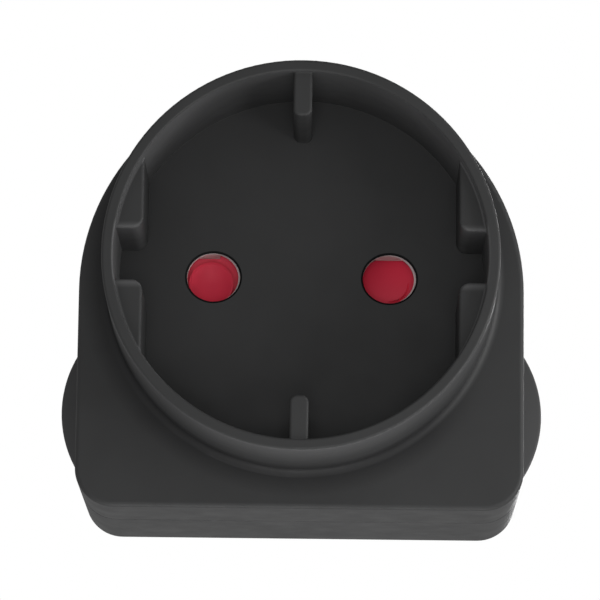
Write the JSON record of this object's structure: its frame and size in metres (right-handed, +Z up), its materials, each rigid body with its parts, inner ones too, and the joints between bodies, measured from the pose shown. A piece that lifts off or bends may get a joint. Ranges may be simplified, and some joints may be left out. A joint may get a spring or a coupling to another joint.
{
  "type": "plug adapter",
  "caption": "Plug adapter: round recessed two-pin socket with a sprung red safety shutter in a dark body with finger grips, and a fused British pin set on the back.",
  "frame": {"origin": "on the socket's axis, at the rear face that rests against the wall socket", "axes": "+Z up (towards the earth pin), +Y into the wall along the British pins, +X right as seen from the room; the round socket opens towards -Y"},
  "size_m": [0.054, 0.0579, 0.0477],
  "materials": {
    "shell_plastic": "fine-grained matt dark grey moulding",
    "carrier_plastic": "satin off-white moulding",
    "shutter_red": "semi-gloss red moulding",
    "steel": "bright zinc-plated",
    "spring_steel": "bright drawn wire",
    "brass": "bright rolled strip and bar",
    "plated_brass": "nickel plated",
    "holder_plastic": "matt grey moulding",
    "sleeve_plastic": "satin black moulding",
    "ceramic": "glazed ceramic tube"
  },
  "bodies": {
    "adapter_body": {"front_shell": "shell_plastic", "rear_shell": "shell_plastic", "shutter_carrier": "carrier_plastic", "shutter_pivot_pin": "steel", "shutter_spring": "spring_steel", "contact_holder": "holder_plastic", "line_contact": "brass", "neutral_contact": "brass", "live_pin": "brass", "live_pin_sleeve": "sleeve_plastic", "neutral_pin": "brass", "neutral_pin_sleeve": "sleeve_plastic", "earth_pin": "sleeve_plastic", "pin_retainer": "holder_plastic", "fuse_clip_supply": "brass", "fuse_clip_load": "brass", "neutral_link": "brass", "contact_rivets": "brass", "case_screws": "steel"},
    "shutter": {"shutter": "shutter_red"},
    "fuse_drawer": {"fuse_carrier": "sleeve_plastic", "fuse_tube": "ceramic", "fuse_end_caps": "plated_brass", "fuse_wire": "steel"}
  },
  "joints": [
    {"name": "shutter_turn", "type": "hinge", "parent": "adapter_body", "child": "shutter", "pos_m": [0, -0.0174, 0], "axis": [0, 1, 0], "range_deg": [0, 38], "stiffness_Nm_per_rad": 0.002, "springref_deg": -20.05, "deforming": ["shutter_spring"]},
    {"name": "fuse_drawer_slide", "type": "slide", "parent": "adapter_body", "child": "fuse_drawer", "axis": [0, 1, 0], "range_m": [0, 0.016]}
  ]
}
